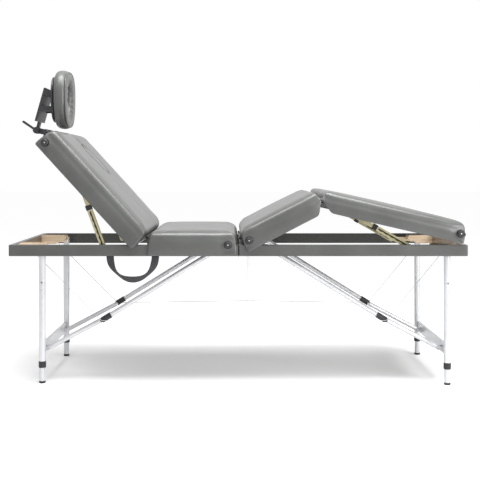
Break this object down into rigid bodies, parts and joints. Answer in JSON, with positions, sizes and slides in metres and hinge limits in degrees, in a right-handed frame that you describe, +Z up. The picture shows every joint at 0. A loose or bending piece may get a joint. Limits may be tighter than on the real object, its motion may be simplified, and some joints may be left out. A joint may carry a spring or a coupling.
{
  "type": "portable massage table",
  "caption": "Folding massage table with a raised backrest, bent knee and foot panels, ratchet stays, cable-braced folding legs and a tilting face cradle.",
  "frame": {"origin": "on the floor under the fold line, midway between the near and the far legs", "axes": "+X from the head end to the foot end, +Y to the far side, +Z up"},
  "size_m": [1.8745, 0.7066, 1.3121],
  "materials": {
    "frame_vinyl": "grey vinyl stretched over the frame boards",
    "pad_vinyl": "grey vinyl, satin",
    "beech_block": "light beech, sanded",
    "plywood": "plywood",
    "white_aluminium": "satin silver-white",
    "steel": "bright steel",
    "yellow_zinc": "yellow zinc plate",
    "rubber": "black, slightly shiny",
    "black_plastic": "black, matt",
    "webbing": "dark grey woven webbing"
  },
  "bodies": {
    "head_half": {"head_frame": "frame_vinyl", "head_leg_block_near": "beech_block", "head_leg_block_far": "beech_block", "seat_board": "plywood", "seat_pad": "pad_vinyl", "seat_rubber_foot_near": "rubber", "seat_rubber_foot_far": "rubber", "cable_near": "steel", "cable_far": "steel", "carry_handle": "webbing"},
    "foot_half": {"foot_frame": "frame_vinyl", "foot_leg_block_near": "beech_block", "foot_leg_block_far": "beech_block"},
    "backrest": {"backrest_board": "plywood", "backrest_pad": "pad_vinyl", "backrest_rubber_foot_near": "rubber", "backrest_rubber_foot_far": "rubber"},
    "face_plug": {"face_hole_plug": "pad_vinyl"},
    "backrest_stay_channels": {"backrest_stay_outer_near": "yellow_zinc", "backrest_stay_outer_far": "yellow_zinc"},
    "backrest_stay_bars": {"backrest_stay_bar_near": "yellow_zinc", "backrest_stay_bar_far": "yellow_zinc"},
    "knee_panel": {"knee_board": "plywood", "knee_pad": "pad_vinyl", "knee_rubber_foot_near": "rubber", "knee_rubber_foot_far": "rubber"},
    "foot_panel": {"foot_board": "plywood", "foot_pad": "pad_vinyl", "foot_rubber_foot_near": "rubber", "foot_rubber_foot_far": "rubber"},
    "foot_stay_channels": {"foot_stay_outer_near": "yellow_zinc", "foot_stay_outer_far": "yellow_zinc"},
    "foot_stay_bars": {"foot_stay_bar_near": "yellow_zinc", "foot_stay_bar_far": "yellow_zinc"},
    "head_rest_mount": {"head_rest_bridge": "black_plastic"},
    "head_rest": {"head_rest_plate": "black_plastic", "head_rest_cushion": "pad_vinyl"},
    "cam_lever": {"head_rest_lever": "black_plastic"},
    "head_legs": {"head_leg_upper_near": "white_aluminium", "head_leg_upper_far": "white_aluminium", "head_cross_plate": "white_aluminium"},
    "head_struts_upper": {"head_strut_upper_near": "white_aluminium", "head_strut_upper_far": "white_aluminium"},
    "head_struts_lower": {"head_strut_lower_near": "white_aluminium", "head_strut_lower_far": "white_aluminium"},
    "head_leg_slide_near": {"head_leg_lower_near": "white_aluminium"},
    "head_button_near": {"head_leg_button_near": "steel"},
    "head_leg_slide_far": {"head_leg_lower_far": "white_aluminium"},
    "head_button_far": {"head_leg_button_far": "steel"},
    "foot_legs": {"foot_leg_upper_near": "white_aluminium", "foot_leg_upper_far": "white_aluminium", "foot_cross_plate": "white_aluminium"},
    "foot_struts_upper": {"foot_strut_upper_near": "white_aluminium", "foot_strut_upper_far": "white_aluminium"},
    "foot_struts_lower": {"foot_strut_lower_near": "white_aluminium", "foot_strut_lower_far": "white_aluminium"},
    "foot_leg_slide_near": {"foot_leg_lower_near": "white_aluminium"},
    "foot_button_near": {"foot_leg_button_near": "steel"},
    "foot_leg_slide_far": {"foot_leg_lower_far": "white_aluminium"},
    "foot_button_far": {"foot_leg_button_far": "steel"}
  },
  "joints": [
    {"name": "main_fold", "type": "hinge", "parent": "head_half", "child": "foot_half", "pos_m": [0, 0, 0.525], "axis": [0, 1, 0], "range_deg": [0, 180], "deforming": ["cable_near", "cable_far", "carry_handle"]},
    {"name": "head_legs_fold", "type": "hinge", "parent": "head_half", "child": "head_legs", "pos_m": [-0.806, 0, 0.545], "axis": [0, -1, 0], "range_deg": [0, 90]},
    {"name": "foot_legs_fold", "type": "hinge", "parent": "foot_half", "child": "foot_legs", "pos_m": [0.853, 0, 0.545], "axis": [0, 1, 0], "range_deg": [0, 90]},
    {"name": "head_struts_upper_fold", "type": "hinge", "parent": "head_half", "child": "head_struts_upper", "pos_m": [-0.066, 0, 0.559], "axis": [0, 1, 0], "range_deg": [0, 31.6]},
    {"name": "head_struts_lower_fold", "type": "hinge", "parent": "head_legs", "child": "head_struts_lower", "pos_m": [-0.792, 0, 0.133], "axis": [0, -1, 0], "range_deg": [0, 62.3]},
    {"name": "foot_struts_upper_fold", "type": "hinge", "parent": "foot_half", "child": "foot_struts_upper", "pos_m": [0.117, 0, 0.559], "axis": [0, -1, 0], "range_deg": [0, 31.75]},
    {"name": "foot_struts_lower_fold", "type": "hinge", "parent": "foot_legs", "child": "foot_struts_lower", "pos_m": [0.839, 0, 0.133], "axis": [0, 1, 0], "range_deg": [0, 62.15]},
    {"name": "head_leg_height_near", "type": "slide", "parent": "head_legs", "child": "head_leg_slide_near", "axis": [0, 0, -1], "range_m": [-0.03, 0.18]},
    {"name": "head_leg_height_far", "type": "slide", "parent": "head_legs", "child": "head_leg_slide_far", "axis": [0, 0, -1], "range_m": [-0.03, 0.18]},
    {"name": "foot_leg_height_near", "type": "slide", "parent": "foot_legs", "child": "foot_leg_slide_near", "axis": [0, 0, -1], "range_m": [-0.03, 0.18]},
    {"name": "foot_leg_height_far", "type": "slide", "parent": "foot_legs", "child": "foot_leg_slide_far", "axis": [0, 0, -1], "range_m": [-0.03, 0.18]},
    {"name": "head_button_press_near", "type": "slide", "parent": "head_leg_slide_near", "child": "head_button_near", "axis": [0, 1, 0], "range_m": [0, 0.004], "stiffness_N_per_m": 600},
    {"name": "head_button_press_far", "type": "slide", "parent": "head_leg_slide_far", "child": "head_button_far", "axis": [0, -1, 0], "range_m": [0, 0.004], "stiffness_N_per_m": 600},
    {"name": "foot_button_press_near", "type": "slide", "parent": "foot_leg_slide_near", "child": "foot_button_near", "axis": [0, 1, 0], "range_m": [0, 0.004], "stiffness_N_per_m": 600},
    {"name": "foot_button_press_far", "type": "slide", "parent": "foot_leg_slide_far", "child": "foot_button_far", "axis": [0, -1, 0], "range_m": [0, 0.004], "stiffness_N_per_m": 600},
    {"name": "backrest_tilt", "type": "hinge", "parent": "head_half", "child": "backrest", "pos_m": [-0.377, 0, 0.5905], "axis": [0, -1, 0], "range_deg": [0, 47.5]},
    {"name": "backrest_stay_swing", "type": "hinge", "parent": "head_half", "child": "backrest_stay_channels", "pos_m": [-0.546, 0, 0.55], "axis": [0, -1, 0], "range_deg": [0, 67]},
    {"name": "backrest_stay_slide", "type": "slide", "parent": "backrest_stay_channels", "child": "backrest_stay_bars", "axis": [0.3473, 0, -0.9378], "range_m": [0, 0.1084]},
    {"name": "knee_lift", "type": "hinge", "parent": "foot_half", "child": "knee_panel", "pos_m": [0.004, 0, 0.5905], "axis": [0, 1, 0], "range_deg": [0, 27]},
    {"name": "foot_panel_hinge", "type": "hinge", "parent": "knee_panel", "child": "foot_panel", "pos_m": [0.33545, 0, 0.75938], "axis": [0, -1, 0], "range_deg": [0, 40.05]},
    {"name": "foot_stay_swing", "type": "hinge", "parent": "foot_half", "child": "foot_stay_channels", "pos_m": [0.722, 0, 0.55], "axis": [0, -1, 0], "range_deg": [0, 26.85]},
    {"name": "foot_stay_slide", "type": "slide", "parent": "foot_stay_channels", "child": "foot_stay_bars", "axis": [0.8701, 0, -0.4928], "range_m": [0, 0.0902]},
    {"name": "head_rest_slide", "type": "slide", "parent": "backrest", "child": "head_rest_mount", "axis": [-0.6756, 0, 0.7373], "range_m": [0, 0.045]},
    {"name": "head_rest_tilt", "type": "hinge", "parent": "head_rest_mount", "child": "head_rest", "pos_m": [-0.88494, 0, 1.05008], "axis": [0, -1, 0], "range_deg": [0, 45]},
    {"name": "cam_lever_turn", "type": "hinge", "parent": "head_rest_mount", "child": "cam_lever", "pos_m": [-0.88494, 0, 1.05008], "axis": [0, -1, 0], "range_deg": [0, 80]},
    {"name": "face_plug_lift", "type": "slide", "parent": "backrest", "child": "face_plug", "axis": [0.7373, 0, 0.6756], "range_m": [0, 0.08]}
  ],
  "couplings": [
    {"joint": "head_legs_fold", "follows": "main_fold", "ratio": 0.5},
    {"joint": "foot_legs_fold", "follows": "main_fold", "ratio": 0.5},
    {"joint": "head_struts_upper_fold", "follows": "main_fold", "ratio": 0.17541},
    {"joint": "head_struts_lower_fold", "follows": "main_fold", "ratio": 0.3459},
    {"joint": "foot_struts_upper_fold", "follows": "main_fold", "ratio": 0.17622},
    {"joint": "foot_struts_lower_fold", "follows": "main_fold", "ratio": 0.3451},
    {"joint": "backrest_stay_swing", "follows": "backrest_tilt", "ratio": 1.4089},
    {"joint": "backrest_stay_slide", "follows": "backrest_tilt", "m_per_rad": 0.13064},
    {"joint": "foot_panel_hinge", "follows": "knee_lift", "ratio": 1.4815},
    {"joint": "foot_stay_swing", "follows": "knee_lift", "ratio": 0.99201},
    {"joint": "foot_stay_slide", "follows": "knee_lift", "m_per_rad": 0.19122}
  ]
}
